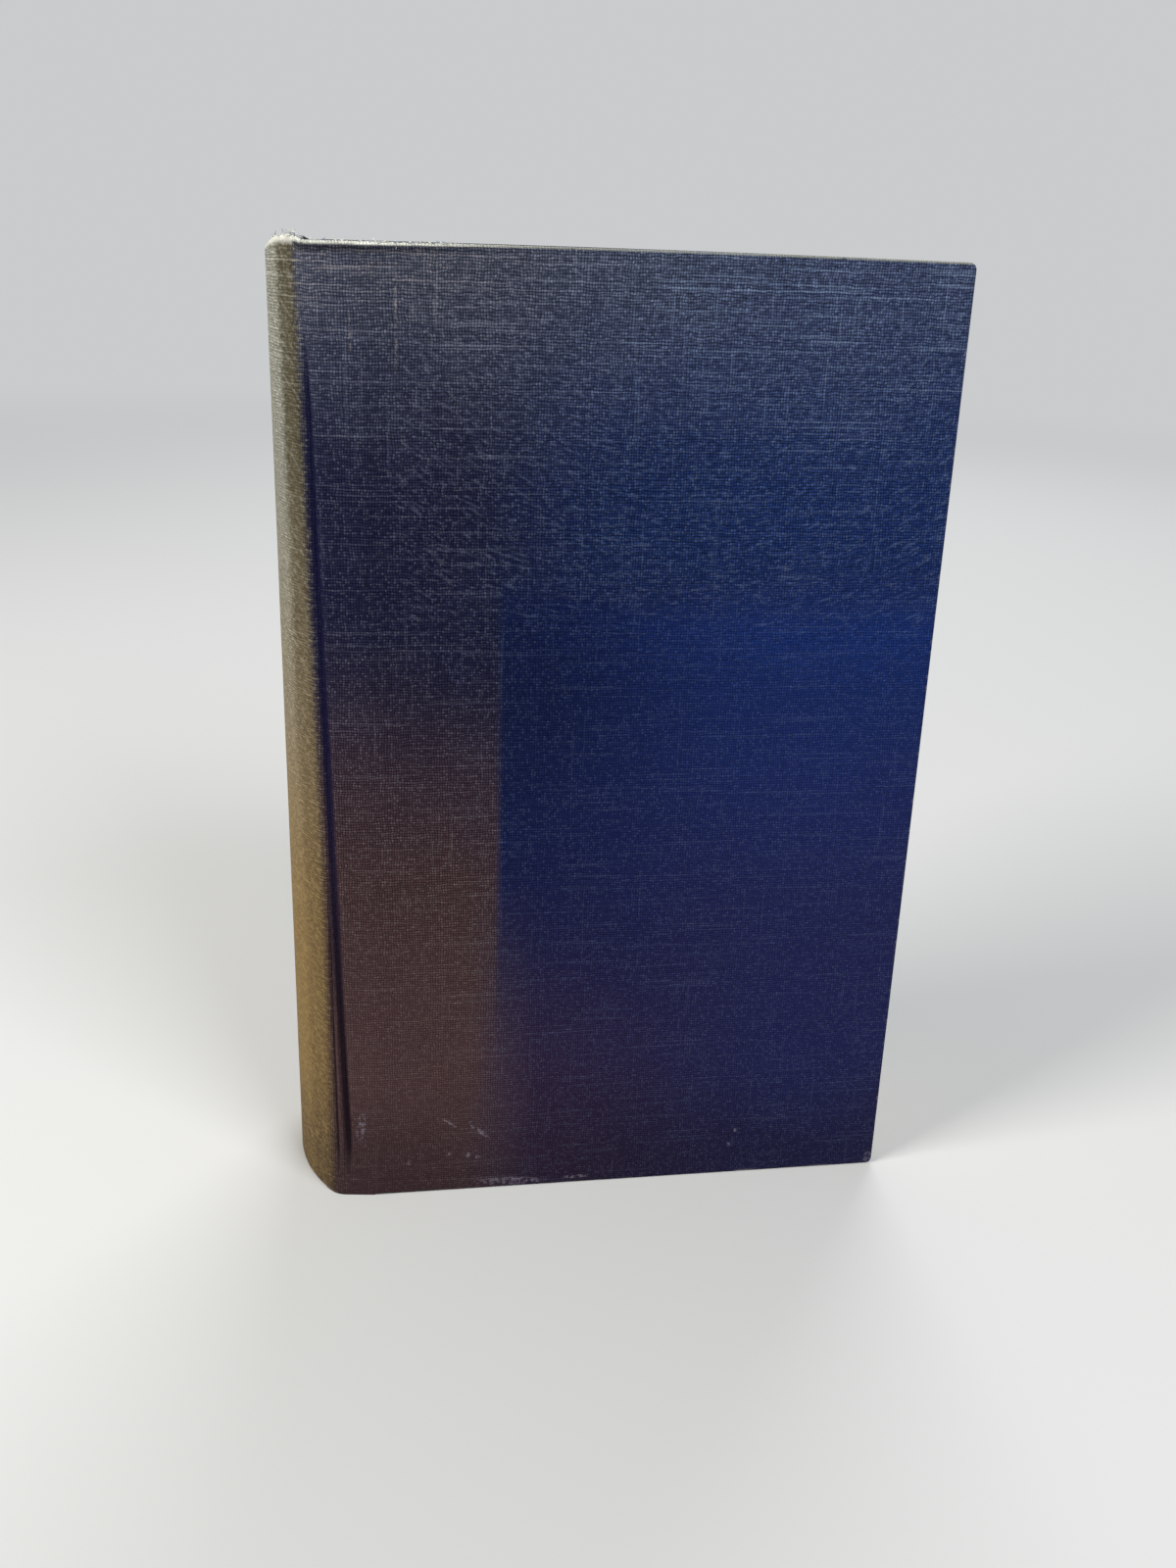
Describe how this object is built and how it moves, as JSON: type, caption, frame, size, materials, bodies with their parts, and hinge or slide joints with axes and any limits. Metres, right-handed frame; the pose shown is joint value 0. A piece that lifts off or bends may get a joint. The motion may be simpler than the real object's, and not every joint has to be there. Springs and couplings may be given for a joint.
{
  "type": "hardback book",
  "caption": "Thick cloth-bound hardback book with a rounded spine, two covers that open on cloth joints, and sewn pages with endpapers and head bands.",
  "frame": {"origin": "the middle of the footprint, on the surface that the book stands on", "axes": "+Z from tail to head, +X from spine to fore-edge, -Y out of the front cover"},
  "size_m": [0.1556, 0.056, 0.235],
  "materials": {
    "cover_cloth": "matte",
    "faded_spine_cloth": "matte",
    "grey_board": "matte",
    "inlay_card": "matte",
    "pages": "matte",
    "endpaper": "matte",
    "mull": "matte",
    "lining_paper": "matte",
    "band_thread": "matte"
  },
  "bodies": {
    "text_block": {"text_block": "pages", "front_flyleaf": "endpaper", "back_flyleaf": "endpaper", "mull_spine": "mull", "spine_lining": "lining_paper", "head_band": "band_thread", "tail_band": "band_thread", "spine_inlay": "inlay_card", "spine_cloth": "faded_spine_cloth", "front_joint_cloth": "cover_cloth", "back_joint_cloth": "cover_cloth"},
    "front_cover": {"front_board": "grey_board", "front_cover_cloth": "cover_cloth", "front_pastedown": "endpaper", "front_mull_flap": "mull"},
    "back_cover": {"back_board": "grey_board", "back_cover_cloth": "cover_cloth", "back_pastedown": "endpaper", "back_mull_flap": "mull"}
  },
  "joints": [
    {"name": "front_cover_hinge", "type": "hinge", "parent": "text_block", "child": "front_cover", "pos_m": [-0.06545, -0.02435, 0.1175], "axis": [0, 0, -1], "range_deg": [0, 180], "deforming": ["front_joint_cloth", "front_pastedown", "front_mull_flap"]},
    {"name": "back_cover_hinge", "type": "hinge", "parent": "text_block", "child": "back_cover", "pos_m": [-0.06545, 0.02435, 0.1175], "axis": [0, 0, 1], "range_deg": [0, 180], "deforming": ["back_joint_cloth", "back_pastedown", "back_mull_flap"]}
  ]
}
